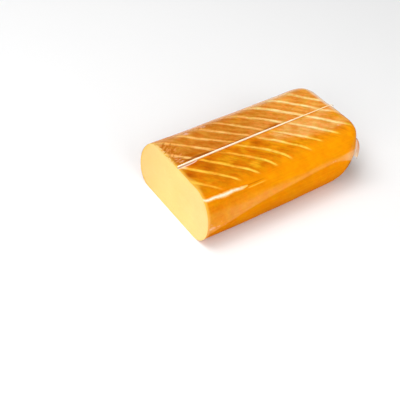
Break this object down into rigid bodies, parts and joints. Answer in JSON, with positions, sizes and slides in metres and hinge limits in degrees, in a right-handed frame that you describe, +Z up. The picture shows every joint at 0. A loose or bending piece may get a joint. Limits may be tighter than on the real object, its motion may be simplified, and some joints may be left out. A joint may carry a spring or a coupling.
{
  "type": "smoked edam loaf in clear film, cut at one end",
  "caption": "Long smoked edam loaf in tight clear film, with a square-cut pale face, rack marks on its flat top and a lengthwise film weld.",
  "frame": {"origin": "middle of the whole part's footprint box, on the surface it rests on", "axes": "+X along the loaf from the cut face to the wrapped end, +Z up, +Y to the left seen from the cut face"},
  "size_m": [0.2118, 0.1308, 0.0629],
  "materials": {
    "cheese": "orange-brown smoked rind, glossy under tight clear film, with lighter rack marks; pale buttery yellow on the cut face",
    "film": "clear glossy wrapping film, whitish along its weld and folds"
  },
  "bodies": {
    "root": {"cheese_loaf": "cheese", "film_seam": "film", "film_flap": "film"}
  },
  "joints": []
}
